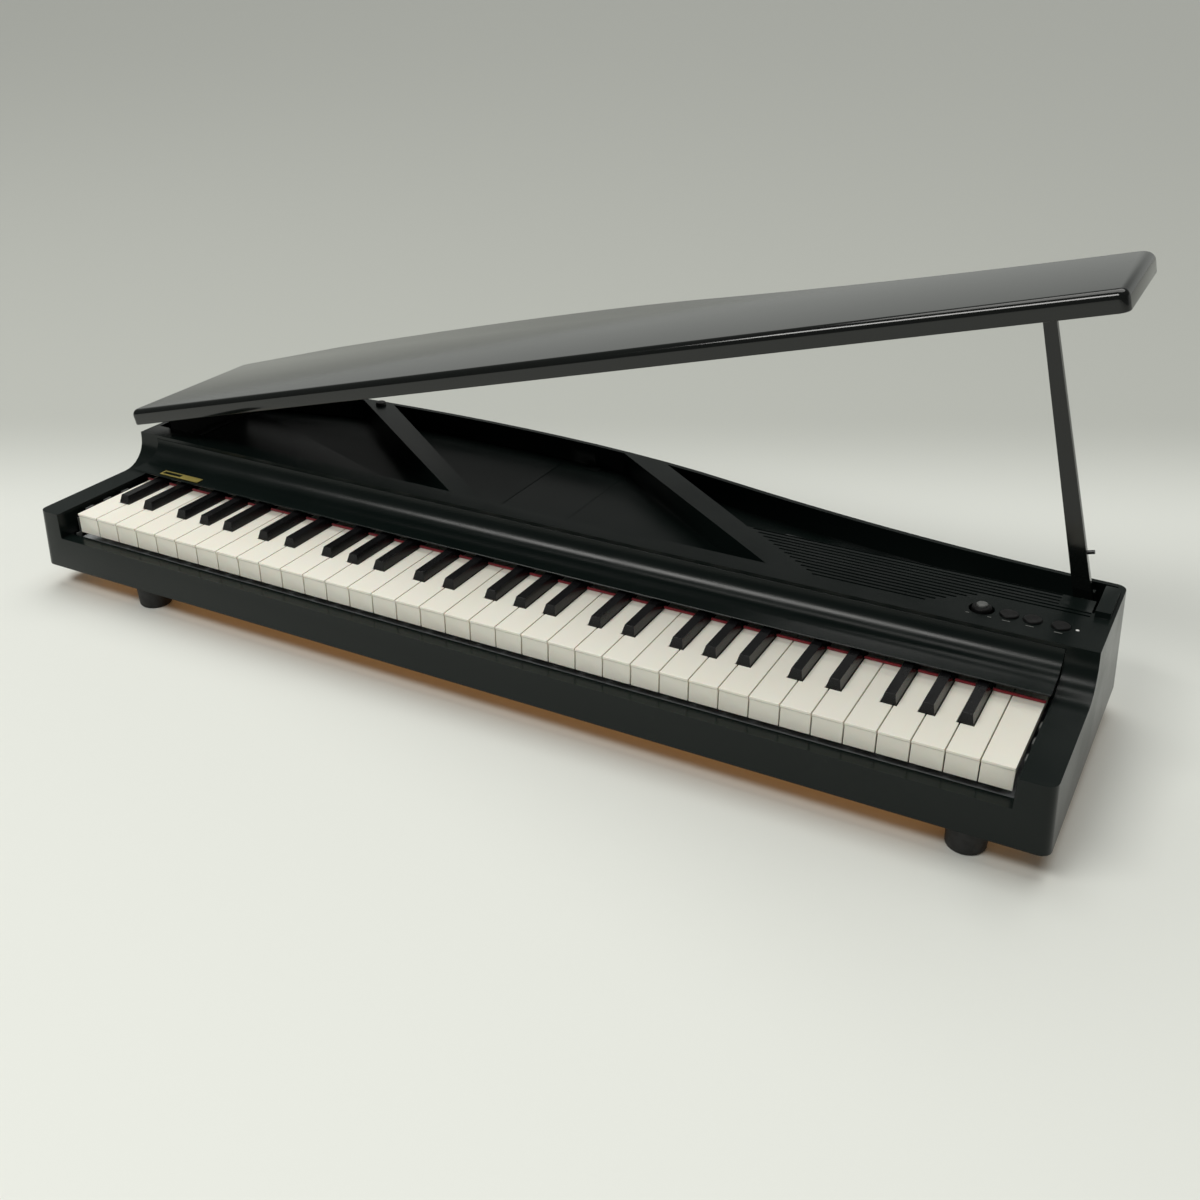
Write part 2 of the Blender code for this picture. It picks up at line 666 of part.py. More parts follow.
def build():
    clear_scene()
    satin_black = material("satin black", (0.012, 0.014, 0.013), 0.42)
    gloss_black = material("gloss black", (0.006, 0.006, 0.006), 0.08)
    soft_black = material("soft black", (0.01, 0.01, 0.01), 0.6)
    ivory = material("ivory", (0.84, 0.82, 0.74), 0.22)
    ebony = material("ebony", (0.012, 0.012, 0.012), 0.28)
    red_felt = material("red felt", (0.45, 0.01, 0.02), 0.95)
    steel = material("steel", (0.5, 0.5, 0.5), 0.3, 1.0)
    grey_plastic = material("grey plastic", (0.35, 0.36, 0.36), 0.5)
    board_brown = material("board brown", (0.25, 0.17, 0.10), 0.8)
    board_green = material("board green", (0.02, 0.16, 0.06), 0.5)
    rubber = material("rubber", (0.01, 0.01, 0.01), 0.85)

    case_shell(satin_black)
    base_board(board_brown)
    fallboard(satin_black)
    blacks = black_centres()
    for index in range(WHITE_COUNT):
        white_key(index, blacks, ivory)
    for octave in range(WHITE_COUNT // 7):
        black_keys(octave, blacks, ebony)
    key_chassis(grey_plastic)
    key_felt(blacks, red_felt)
    lid(gloss_black)
    lid_hinge(steel)
    prop_stick(gloss_black)
    volume_knob(soft_black)
    for name, x in BUTTON_XS.items():
        button(name, x, soft_black)
    battery_cover(satin_black)
    feet = {"foot_front_left": (-0.2975, 0.0162), "foot_front_right": (0.3465, 0.0162),
            "foot_back_left": (-0.296, 0.238), "foot_back_right": (0.344, 0.185)}
    for name, (x, depth) in feet.items():
        foot(name, x, depth, rubber)
    speaker(steel)
    main_board(board_green)


build()
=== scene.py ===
"""Looks for a small digital grand piano with 61 mini keys and a propped lid.

Lengths are in metres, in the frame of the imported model: the keyboard faces -Y and the treble
end is at +X. "Depth" is the distance behind the front face of the case.
"""

import json
import math

import bmesh
import bpy
from mathutils import Matrix, Vector
from mathutils.geometry import interpolate_bezier

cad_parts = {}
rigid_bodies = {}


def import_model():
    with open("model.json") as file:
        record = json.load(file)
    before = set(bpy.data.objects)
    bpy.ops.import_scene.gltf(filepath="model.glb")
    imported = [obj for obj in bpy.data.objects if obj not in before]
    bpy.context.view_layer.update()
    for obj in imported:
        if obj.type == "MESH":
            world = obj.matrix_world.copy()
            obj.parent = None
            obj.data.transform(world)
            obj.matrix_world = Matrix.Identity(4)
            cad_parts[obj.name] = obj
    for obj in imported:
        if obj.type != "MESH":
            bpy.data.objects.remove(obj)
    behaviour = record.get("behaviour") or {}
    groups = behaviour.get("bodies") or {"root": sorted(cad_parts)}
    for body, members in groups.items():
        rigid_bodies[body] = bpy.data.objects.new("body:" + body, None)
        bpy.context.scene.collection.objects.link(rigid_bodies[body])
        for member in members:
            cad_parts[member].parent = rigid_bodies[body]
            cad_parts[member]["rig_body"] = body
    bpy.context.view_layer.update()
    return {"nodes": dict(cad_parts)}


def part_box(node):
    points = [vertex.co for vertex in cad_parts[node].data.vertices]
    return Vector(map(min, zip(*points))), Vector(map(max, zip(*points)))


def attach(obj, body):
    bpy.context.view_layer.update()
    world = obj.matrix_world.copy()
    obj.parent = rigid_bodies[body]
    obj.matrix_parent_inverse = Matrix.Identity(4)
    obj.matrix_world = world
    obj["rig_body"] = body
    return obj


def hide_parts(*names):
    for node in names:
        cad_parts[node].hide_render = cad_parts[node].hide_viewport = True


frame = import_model()

MM = 0.001
FRONT_Y = -139.75 * MM
DECK_TOP = 74.4 * MM
RIM_TOP = 92.8 * MM
KEY_TOP = 63.9 * MM
WHITE_COUNT = 36
BLACK_COMB_COUNT = 5
LIP_UNDER = KEY_TOP - 1.8 * MM
SKIRT_TOP = KEY_TOP - 2.3 * MM
KEY_FRONT_RECESS = 0.7 * MM
# red felt kept only this high; the shade above it under the ledge is painted
FELT_HEIGHT = 1.7 * MM

# Lid
LID_PIVOT = (-384.0 * MM, 104.0 * MM)
LID_ANGLE = math.radians(14.744)
LID_LENGTH = 790.6 * MM
LID_LEFT = LID_PIVOT[0] - 9.3 * MM
LID_UNDER = LID_PIVOT[1] - 1.9 * MM
LID_TOP = LID_UNDER + 12.9 * MM
LID_FRONT = 108.6 * MM
LID_RECESS = 8.0 * MM
LID_SKIRT = 4.0 * MM
LID_ROUNDING = 5.3 * MM
LID_BACK_LEFT = 250.3 * MM
LID_OVERHANG = 1.0 * MM
HALF_WIDTH = 391.5 * MM
SHOULDER = Vector((-289.0, 270.5, 0)) * MM
WAIST = Vector((92.0, 252.5, 0)) * MM
CURVE_END = Vector((391.5, 213.5, 0)) * MM
PROP_SOCKET_REACH = 719.3 * MM

# Controls
CONTROL_DEPTH = 136.6 * MM
KNOB_X = 313.7 * MM
LED_X = 373.5 * MM
BUTTONS = (("sound", 331.2 * MM), ("demo", 345.9 * MM), ("power", 363.4 * MM))
MARK_DEPTH = 127.6 * MM
MARK_WIDTH = 0.7 * MM

# Back
SOCKET_HEIGHT = 42.0 * MM
DC_SOCKET_X = -205.0 * MM
PHONE_SOCKET_X = -180.0 * MM

# Camera
CAMERA_PLACE = (0.4536, -0.7899, 0.5035)
CAMERA_YAW = math.radians(-27.9415)
CAMERA_PITCH = math.radians(28.0498)
CAMERA_ROLL = 0.00284
CAMERA_LENS = 40.40
SENSOR_WIDTH = 36.0

# Light and floor
ROOM_LIGHT = 0.12
HORIZON_LIGHT = 0.50
ROOM_COLOR = (0.97, 1.0, 0.95, 1)
SKY_POWER = 1.85
SKY_SPREAD = math.radians(56)
SKY_COLOR = (1.0, 0.99, 0.955)
SKY_AIM = Vector((0.10, -0.34, -1.0))
FRONT_LAMP_POWER = 44.0
BOUNCE_POWER = 0.075
FLOOR_HALF_SIZE = 9.0
FLOOR_NEAR_COLOR = (0.75, 0.768, 0.728, 1)
# painted shade: the floor's colour darkens far behind the object in place of the light falling off
FLOOR_FAR_PAINTED_SHADE = (0.50, 0.515, 0.48, 1)
FLOOR_PAINTED_SHADE_RAMP = (0.17, 0.46)


def y_at(depth):
    return FRONT_Y + depth


# ---------------------------------------------------------------- materials

def shader_material(name, color, roughness, metallic=0.0, **sockets):
    """A material with its shader, ready for nodes. Constant values go on the shader's sockets."""
    mat = bpy.data.materials.new(name)
    mat.use_nodes = True
    shader = mat.node_tree.nodes["Principled BSDF"]
    shader.inputs["Base Color"].default_value = (*color, 1.0)
    shader.inputs["Roughness"].default_value = roughness
    shader.inputs["Metallic"].default_value = metallic
    for socket, value in sockets.items():
        shader.inputs[socket.replace("_", " ")].default_value = value
    return mat


def add_node(mat, kind, **settings):
    node = mat.node_tree.nodes.new(kind)
    for name, value in settings.items():
        if name in node.inputs:
            node.inputs[name].default_value = value
        else:
            setattr(node, name, value)
    return node


def link(mat, source, target):
    mat.node_tree.links.new(source, target)


def noise(mat, scale, detail=3.0, stretch=(1, 1, 1)):
    """Noise in the object's own metres; stretch lengthens it along an axis."""
    place = add_node(mat, "ShaderNodeTexCoord")
    mapping = add_node(mat, "ShaderNodeMapping")
    mapping.inputs["Scale"].default_value = stretch
    texture = add_node(mat, "ShaderNodeTexNoise", Scale=scale, Detail=detail)
    link(mat, place.outputs["Object"], mapping.inputs["Vector"])
    link(mat, mapping.outputs["Vector"], texture.inputs["Vector"])
    return texture.outputs["Fac"]


def vary_roughness(mat, source, low, high):
    ramp = add_node(mat, "ShaderNodeMapRange")
    ramp.inputs["From Min"].default_value = 0.3
    ramp.inputs["From Max"].default_value = 0.7
    ramp.inputs["To Min"].default_value = low
    ramp.inputs["To Max"].default_value = high
    link(mat, source, ramp.inputs["Value"])
    link(mat, ramp.outputs["Result"], mat.node_tree.nodes["Principled BSDF"].inputs["Roughness"])


def vary_color(mat, source, first, second):
    mix = add_node(mat, "ShaderNodeValToRGB")
    mix.color_ramp.elements[0].position = 0.3
    mix.color_ramp.elements[1].position = 0.7
    mix.color_ramp.elements[0].color = (*first, 1.0)
    mix.color_ramp.elements[1].color = (*second, 1.0)
    link(mat, source, mix.inputs["Fac"])
    link(mat, mix.outputs["Color"], mat.node_tree.nodes["Principled BSDF"].inputs["Base Color"])


def bump(mat, source, distance, strength=0.5):
    node = add_node(mat, "ShaderNodeBump", Strength=strength, Distance=distance)
    link(mat, source, node.inputs["Height"])
    link(mat, node.outputs["Normal"], mat.node_tree.nodes["Principled BSDF"].inputs["Normal"])


def satin_plastic():
    mat = shader_material("satin_black_plastic", (0.005, 0.0085, 0.0075), 0.24, Specular_IOR_Level=0.24)
    vary_color(mat, noise(mat, 9.0), (0.0038, 0.0070, 0.0062), (0.0060, 0.0095, 0.0085))
    vary_roughness(mat, noise(mat, 24.0, 4.0), 0.20, 0.27)
    bump(mat, noise(mat, 2600.0, 2.0), 0.00004)
    return mat


def lid_lacquer():
    mat = shader_material("lid_gloss_black", (0.004, 0.005, 0.0045), 0.10, IOR=1.5)
    vary_roughness(mat, noise(mat, 14.0, 5.0, (0.35, 1.0, 1.0)), 0.08, 0.13)
    bump(mat, noise(mat, 55.0, 2.0), 0.00003, 0.25)
    return mat


def ivory_plastic():
    mat = shader_material(
        "key_ivory", (0.84, 0.82, 0.75), 0.20,
        Subsurface_Weight=0.08, Subsurface_Scale=0.0015,
    )
    vary_color(mat, noise(mat, 11.0), (0.90, 0.87, 0.765), (0.93, 0.905, 0.81))
    vary_roughness(mat, noise(mat, 70.0, 4.0, (1, 0.2, 1)), 0.17, 0.26)
    bump(mat, noise(mat, 900.0, 2.0), 0.00002, 0.3)
    return mat


def ebony_plastic():
    mat = shader_material("key_ebony", (0.006, 0.006, 0.0065), 0.24)
    vary_color(mat, noise(mat, 40.0), (0.004, 0.004, 0.0045), (0.008, 0.008, 0.009))
    vary_roughness(mat, noise(mat, 90.0, 4.0, (1, 0.25, 1)), 0.20, 0.29)
    bump(mat, noise(mat, 1800.0, 2.0), 0.00004, 0.4)
    return mat


def felt_cloth():
    mat = shader_material(
        "red_felt", (0.42, 0.012, 0.03), 0.95, Sheen_Weight=0.6, Sheen_Roughness=0.5,
    )
    vary_color(mat, noise(mat, 420.0, 6.0), (0.22, 0.003, 0.012), (0.40, 0.010, 0.025))
    bump(mat, noise(mat, 2200.0, 6.0), 0.0003, 0.9)
    return mat


def control_plastic():
    mat = shader_material("control_black", (0.003, 0.003, 0.003), 0.5, Specular_IOR_Level=0.2)
    vary_roughness(mat, noise(mat, 160.0, 3.0), 0.42, 0.58)
    bump(mat, noise(mat, 3000.0, 2.0), 0.00005, 0.5)
    return mat


def grey_cap():
    mat = shader_material("cap_grey", (0.13, 0.135, 0.13), 0.38)
    vary_roughness(mat, noise(mat, 200.0, 3.0), 0.32, 0.45)
    return mat


def brass():
    mat = shader_material("plate_brass", (0.55, 0.45, 0.13), 0.38, 0.55)
    vary_roughness(mat, noise(mat, 900.0, 3.0, (0.1, 1, 1)), 0.26, 0.42)
    return mat


def black_steel():
    mat = shader_material("hinge_black_steel", (0.025, 0.025, 0.025), 0.42, 0.6)
    vary_roughness(mat, noise(mat, 400.0, 3.0), 0.36, 0.5)
    return mat


def steel():
    mat = shader_material("spring_steel", (0.55, 0.56, 0.56), 0.28, 1.0)
    vary_roughness(mat, noise(mat, 400.0, 3.0, (1, 0.1, 1)), 0.22, 0.38)
    return mat


def chassis_plastic():
    mat = shader_material("chassis_grey", (0.42, 0.44, 0.45), 0.5)
    vary_roughness(mat, noise(mat, 120.0), 0.42, 0.58)
    bump(mat, noise(mat, 1500.0), 0.00005, 0.4)
    return mat


def rubber():
    mat = shader_material("foot_rubber", (0.008, 0.008, 0.008), 0.62)
    vary_roughness(mat, noise(mat, 200.0), 0.52, 0.72)
    bump(mat, noise(mat, 1400.0), 0.0001, 0.4)
    return mat


def hardboard():
    mat = shader_material("base_hardboard", (0.45, 0.24, 0.10), 0.75)
    vary_color(mat, noise(mat, 260.0, 8.0, (0.3, 1, 1)), (0.36, 0.18, 0.065), (0.54, 0.31, 0.14))
    bump(mat, noise(mat, 900.0, 6.0), 0.0002, 0.5)
    return mat


def circuit_green():
    mat = shader_material("board_green", (0.012, 0.13, 0.05), 0.35)
    vary_color(mat, noise(mat, 380.0, 2.0, (0.1, 1, 1)), (0.008, 0.09, 0.035), (0.02, 0.17, 0.07))
    return mat


def print_ink():
    mat = shader_material("print_ink", (0.16, 0.165, 0.155), 0.6)
    vary_roughness(mat, noise(mat, 800.0), 0.5, 0.7)
    return mat


def led_lens():
    mat = shader_material("led_lens", (0.6, 0.6, 0.58), 0.3, Emission_Strength=0.12)
    mat.node_tree.nodes["Principled BSDF"].inputs["Emission Color"].default_value = (1, 1, 0.95, 1)
    return mat


def cone_paper():
    mat = shader_material("cone_paper", (0.02, 0.02, 0.02), 0.8)
    bump(mat, noise(mat, 1200.0, 5.0), 0.0002, 0.6)
    return mat


SATIN = satin_plastic()
LACQUER = lid_lacquer()
IVORY = ivory_plastic()
EBONY = ebony_plastic()
FELT = felt_cloth()
CONTROL = control_plastic()
CAP = grey_cap()
BRASS = brass()
STEEL = steel()
BLACK_STEEL = black_steel()
CHASSIS = chassis_plastic()
RUBBER = rubber()
BOARD = hardboard()
CIRCUIT = circuit_green()
INK = print_ink()
LENS = led_lens()
PAPER = cone_paper()


# ---------------------------------------------------------------- mesh helpers

def loft(sections):
    """A closed solid through rings of equal length, capped at both ends."""
    bm = bmesh.new()
    rings = [[bm.verts.new(point) for point in ring] for ring in sections]
    count = len(rings[0])
    for low, high in zip(rings, rings[1:]):
        for i in range(count):
            j = (i + 1) % count
            bm.faces.new((low[i], low[j], high[j], high[i]))
    bm.faces.new(rings[0][::-1])
    bm.faces.new(rings[-1])
    return bm


def upright(points, low, high):
    """A prism over (x, depth) points between two heights."""
    return loft([[(x, y_at(d), z) for x, d in points] for z in (low, high)])


def crosswise(profile, near, far):
    """A prism along Y over (x, z) points between two depths."""
    return loft([[(x, y_at(d), z) for x, z in profile] for d in (near, far)])


def block(x0, x1, d0, d1, z0, z1):
    return upright([(x0, d0), (x1, d0), (x1, d1), (x0, d1)], z0, z1)


def in_mm(points):
    return [(a * MM, b * MM) for a, b in points]


def every_element(bm):
    return list(bm.verts) + list(bm.edges) + list(bm.faces)


def turned(x, depth, profile, steps=48, wave=0.0, teeth=0):
    """A solid turned about a vertical axis from (radius, z) pairs; wave and teeth flute it."""
    rings = []
    for radius, z in profile:
        points = []
        for i in range(steps):
            a = 2 * math.pi * i / steps
            r = radius * (1 + wave * math.cos(teeth * a))
            points.append((x + r * math.cos(a), y_at(depth) + r * math.sin(a), z))
        rings.append(points)
    return loft(rings)


def merge(*parts):
    whole = bmesh.new()
    for part in parts:
        mesh = bpy.data.meshes.new("merged")
        part.to_mesh(mesh)
        part.free()
        whole.from_mesh(mesh)
        bpy.data.meshes.remove(mesh)
    return whole


def turn_about(pivot, angle):
    """The matrix of a turn about a line through pivot along Y."""
    turn = Matrix.Rotation(angle, 4, "Y")
    return Matrix.Translation(pivot) @ turn @ Matrix.Translation(-Vector(pivot))


def tilt_with_lid(bm, pivot):
    bmesh.ops.transform(bm, matrix=turn_about(pivot, -LID_ANGLE), verts=bm.verts)


def piece(name, bm, mat, body, soft_edge=0.0, segments=2, smooth=35):
    """A visual piece on a body. soft_edge rounds its sharp edges by that much."""
    bmesh.ops.recalc_face_normals(bm, faces=bm.faces)
    mesh = bpy.data.meshes.new(name)
    bm.to_mesh(mesh)
    bm.free()
    mesh.materials.append(mat)
    obj = bpy.data.objects.new(name, mesh)
    bpy.context.scene.collection.objects.link(obj)
    mesh.shade_smooth()
    mesh.set_sharp_from_angle(angle=math.radians(smooth))
    if soft_edge:
        bevel = obj.modifiers.new("soft edges", "BEVEL")
        bevel.width = soft_edge
        bevel.segments = segments
        bevel.limit_method = "ANGLE"
        bevel.angle_limit = math.radians(30)
        bevel.harden_normals = True
    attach(obj, body)
    return obj


def cut_out(obj, bm):
    """Take a shape away from a piece, and leave nothing of the cutter behind."""
    bmesh.ops.recalc_face_normals(bm, faces=bm.faces)
    mesh = bpy.data.meshes.new("cutter")
    bm.to_mesh(mesh)
    bm.free()
    other = bpy.data.objects.new("cutter", mesh)
    bpy.context.scene.collection.objects.link(other)
    mod = obj.modifiers.new("cut", "BOOLEAN")
    mod.operation = "DIFFERENCE"
    mod.solver = "EXACT"
    mod.object = other
    graph = bpy.context.evaluated_depsgraph_get()
    result = bpy.data.meshes.new_from_object(obj.evaluated_get(graph))
    obj.modifiers.remove(mod)
    obj.data = result
    result.shade_smooth()
    result.set_sharp_from_angle(angle=math.radians(40))
    bpy.data.objects.remove(other)


def cad_copy(node):
    """The CAD node's mesh with its seams welded and its flat faces made whole."""
    source = frame["nodes"][node]
    bm = bmesh.new()
    bm.from_mesh(source.data)
    bmesh.ops.remove_doubles(bm, verts=bm.verts, dist=0.01 * MM)
    bmesh.ops.dissolve_limit(
        bm, angle_limit=math.radians(0.6), verts=bm.verts, edges=bm.edges, delimit={"NORMAL"}
    )
    return bm


def refined(node, name, mat, soft_edge, segments=2):
    """The CAD node's own shape with soft edges, in its place."""
    body = frame["nodes"][node]["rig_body"]
    obj = piece(name, cad_copy(node), mat, body, soft_edge, segments)
    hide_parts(node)


# ---------------------------------------------------------------- camera, light, floor

def place_camera():
    yaw, pitch, roll = CAMERA_YAW, CAMERA_PITCH, CAMERA_ROLL
    forward = Vector((
        math.sin(yaw) * math.cos(pitch), math.cos(yaw) * math.cos(pitch), -math.sin(pitch),
    ))
    right = forward.cross(Vector((0, 0, 1))).normalized()
    up = right.cross(forward)
    side = right * math.cos(roll) + up * math.sin(roll)
    top = up * math.cos(roll) - right * math.sin(roll)
    data = bpy.data.cameras.new("camera")
    data.lens = CAMERA_LENS
    data.sensor_width = SENSOR_WIDTH
    camera = bpy.data.objects.new("camera", data)
    bpy.context.scene.collection.objects.link(camera)
    rotation = Matrix((side, top, -forward)).transposed().to_4x4()
    camera.matrix_world = Matrix.Translation(CAMERA_PLACE) @ rotation
    bpy.context.scene.camera = camera
    return forward


def area_light(name, location, target, size, power, color):
    data = bpy.data.lights.new(name, "AREA")
    data.shape = "RECTANGLE"
    data.size, data.size_y = size
    data.energy = power
    data.color = color
    lamp = bpy.data.objects.new(name, data)
    bpy.context.scene.collection.objects.link(lamp)
    lamp.location = location
    aim = Vector(target) - Vector(location)
    lamp.rotation_euler = aim.to_track_quat("-Z", "Y").to_euler()


def smooth_step(tree, source, start, end):
    """A node that goes smoothly from 0 to 1 as the source goes from start to end."""
    node = tree.nodes.new("ShaderNodeMapRange")
    node.interpolation_type = "SMOOTHSTEP"
    node.inputs["From Min"].default_value = start
    node.inputs["From Max"].default_value = end
    tree.links.new(source, node.inputs["Value"])
    return node


def place_lights():
    """A low bright horizon behind, a dim room, a soft sky, a front lamp and a bounce underneath."""
    world = bpy.data.worlds.new("studio")
    world.use_nodes = True
    tree = world.node_tree
    place = tree.nodes.new("ShaderNodeTexCoord")
    split = tree.nodes.new("ShaderNodeSeparateXYZ")
    tree.links.new(place.outputs["Generated"], split.inputs["Vector"])
    behind = smooth_step(tree, split.outputs["Y"], -0.1, 0.6)
    low = smooth_step(tree, split.outputs["Z"], 0.44, 0.16)
    both = tree.nodes.new("ShaderNodeMath")
    both.operation = "MULTIPLY"
    tree.links.new(behind.outputs["Result"], both.inputs[0])
    tree.links.new(low.outputs["Result"], both.inputs[1])
    power = tree.nodes.new("ShaderNodeMapRange")
    power.inputs["To Min"].default_value = ROOM_LIGHT
    power.inputs["To Max"].default_value = HORIZON_LIGHT
    tree.links.new(both.outputs["Value"], power.inputs["Value"])
    background = tree.nodes["Background"]
    background.inputs["Color"].default_value = ROOM_COLOR
    tree.links.new(power.outputs["Result"], background.inputs["Strength"])
    bpy.context.scene.world = world
    sun = bpy.data.lights.new("soft_sky", "SUN")
    sun.energy = SKY_POWER
    sun.angle = SKY_SPREAD
    sun.color = SKY_COLOR
    sky = bpy.data.objects.new("soft_sky", sun)
    bpy.context.scene.collection.objects.link(sky)
    sky.rotation_euler = SKY_AIM.to_track_quat("-Z", "Y").to_euler()
    area_light(
        "front_lamp", (-0.9, -1.7, 2.5), (0.0, 0.0, 0.0), (2.0, 0.6), FRONT_LAMP_POWER, (1.0, 0.99, 0.96)
    )
    area_light(
        "board_bounce", (0.0, -0.01, 0.017), (0.0, -0.01, 0.0), (0.74, 0.24), BOUNCE_POWER, (1.0, 0.50, 0.16)
    )
    bpy.context.scene.view_settings.view_transform = "Standard"


def place_floor(forward):
    """A pale floor with painted shade: its colour turns greyer far behind the object, standing in for the
    light falling off there.
    """
    bm = bmesh.new()
    bmesh.ops.create_grid(bm, x_segments=4, y_segments=4, size=FLOOR_HALF_SIZE)
    mesh = bpy.data.meshes.new("floor")
    bm.to_mesh(mesh)
    bm.free()
    mat = shader_material("floor_paper", (0.78, 0.80, 0.75), 0.55)
    place = add_node(mat, "ShaderNodeTexCoord")
    flat = Vector((forward.x, forward.y, 0)).normalized()
    along = add_node(mat, "ShaderNodeVectorMath", operation="DOT_PRODUCT")
    along.inputs[1].default_value = flat
    link(mat, place.outputs["Object"], along.inputs[0])
    # painted shade on the floor, darker with distance behind the object
    ramp = smooth_step(mat.node_tree, along.outputs["Value"], *FLOOR_PAINTED_SHADE_RAMP)
    mix = add_node(mat, "ShaderNodeMix", data_type="RGBA")
    mix.inputs["A"].default_value = FLOOR_NEAR_COLOR
    mix.inputs["B"].default_value = FLOOR_FAR_PAINTED_SHADE
    link(mat, ramp.outputs["Result"], mix.inputs["Factor"])
    link(mat, mix.outputs["Result"], mat.node_tree.nodes["Principled BSDF"].inputs["Base Color"])
    mesh.materials.append(mat)
    floor = bpy.data.objects.new("floor", mesh)
    bpy.context.scene.collection.objects.link(floor)


# ---------------------------------------------------------------- case

def build_case():
    refined("case_shell", "case_body", SATIN, 0.7 * MM)
    refined("fallboard", "fallboard_panel", SATIN, 0.3 * MM)
    refined("base_board", "bottom_board", BOARD, 0.3 * MM)


def build_white_key(number):
    """A key with its front face set back a little under the lip of its top."""
    node = f"white_key_{number:02d}"
    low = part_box(node)[0]
    bm = cad_copy(node)
    for z in (SKIRT_TOP, LIP_UNDER):
        bmesh.ops.bisect_plane(bm, geom=every_element(bm), plane_co=(0, 0, z), plane_no=(0, 0, 1))
    for v in bm.verts:
        if v.co.y < low.y + 0.1 * MM and v.co.z < KEY_TOP - 2.0 * MM:
            v.co.y += KEY_FRONT_RECESS
    name = f"ivory_key_{number:02d}"
    obj = piece(name, bm, IVORY, f"white_{number:02d}", 0.35 * MM, 3)
    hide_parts(node)


def build_keys():
    for number in range(1, WHITE_COUNT + 1):
        build_white_key(number)
    for number in range(1, BLACK_COMB_COUNT + 1):
        refined(f"black_keys_{number}", f"ebony_keys_{number}", EBONY, 0.7 * MM, 3)


def build_felt():
    """A low red strip between the black keys, in front of a black block of painted shade."""
    low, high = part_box("key_felt")
    bm = cad_copy("key_felt")
    bmesh.ops.bisect_plane(
        bm, geom=every_element(bm), plane_co=(0, 0, low.z + FELT_HEIGHT), plane_no=(0, 0, 1),
        clear_outer=True,
    )
    bmesh.ops.contextual_create(bm, geom=[e for e in bm.edges if e.is_boundary])
    strip = piece("felt_strip", bm, FELT, "case", 0.2 * MM)
    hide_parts("key_felt")
    # painted shade: the felt is cut off above the low red strip, and this black block stands in for the
    # shade under the ledge
    shade_block = block(low.x, high.x, 89.8 * MM, 90.6 * MM, 70.9 * MM, 72.1 * MM)
    piece("felt_shade_block", shade_block, SATIN, "case")


# ---------------------------------------------------------------- lid

def arc_corner(before, corner, after, radius, steps=8):
    """The points of an arc that rounds one corner of an outline."""
    to_before = (Vector(before) - Vector(corner)).normalized()
    to_after = (Vector(after) - Vector(corner)).normalized()
    half = to_before.angle(to_after) / 2
    middle = (to_before + to_after).normalized()
    centre = Vector(corner) + middle * (radius / math.sin(half))
    first = Vector(corner) + to_before * (radius / math.tan(half)) - centre
    last = Vector(corner) + to_after * (radius / math.tan(half)) - centre
    turn = first.angle_signed(last)
    points = []
    for i in range(steps + 1):
        arm = first.copy()
        arm.rotate(Matrix.Rotation(-turn * i / steps, 2))
        points.append(tuple(centre + arm))
    return points


def offset_outline(points, distance):
    """The outline moved inwards by distance."""
    count = len(points)
    moved = []
    for i in range(count):
        here = Vector(points[i])
        back = (here - Vector(points[i - 1])).normalized()
        ahead = (Vector(points[(i + 1) % count]) - here).normalized()
        normal = Vector((-back.y - ahead.y, back.x + ahead.x)).normalized()
        scale = max(normal.dot(Vector((-back.y, back.x))), 0.5)
        moved.append(tuple(here + normal * (distance / scale)))
    return moved


def lid_curve(steps=28):
    """The bent edge from the left shoulder to the right end, as (x, depth) from the lid's left end."""
    leave_shoulder = SHOULDER + Vector((130, 10.5, 0)) * MM
    reach_waist = WAIST + Vector((-110, 26, 0)) * MM
    leave_waist = WAIST + Vector((95, -21, 0)) * MM
    reach_end = CURVE_END + Vector((-110, 3, 0)) * MM
    first = interpolate_bezier(SHOULDER, leave_shoulder, reach_waist, WAIST, steps)
    second = interpolate_bezier(WAIST, leave_waist, reach_end, CURVE_END, steps)
    stretch = LID_LENGTH / (2 * HALF_WIDTH)
    return [(p.x * stretch + LID_LENGTH / 2, p.y + LID_OVERHANG) for p in first + second[1:]]


def lid_outline():
    """The lid from above when level, as (x from its left end, depth), with rounded corners."""
    right = LID_LENGTH
    curve = lid_curve()
    back_left = (0.0, LID_BACK_LEFT)
    points = arc_corner((0.0, 0.2), (0.0, LID_FRONT), (0.2, LID_FRONT), 5.5 * MM, 6)
    points += arc_corner((0.2, LID_FRONT), (right, LID_FRONT), (right, 0.2), 6.0 * MM)
    points += arc_corner((right, 0.12), curve[-1], curve[-3], 11.0 * MM)
    points += [p for p in curve[-2:0:-1] if curve[0][0] + 8 * MM < p[0] < right - 12 * MM]
    points += arc_corner(curve[3], curve[0], back_left, 22.0 * MM, 6)
    points += arc_corner(curve[0], back_left, (0.0, 0.2), 6.0 * MM, 6)
    return points


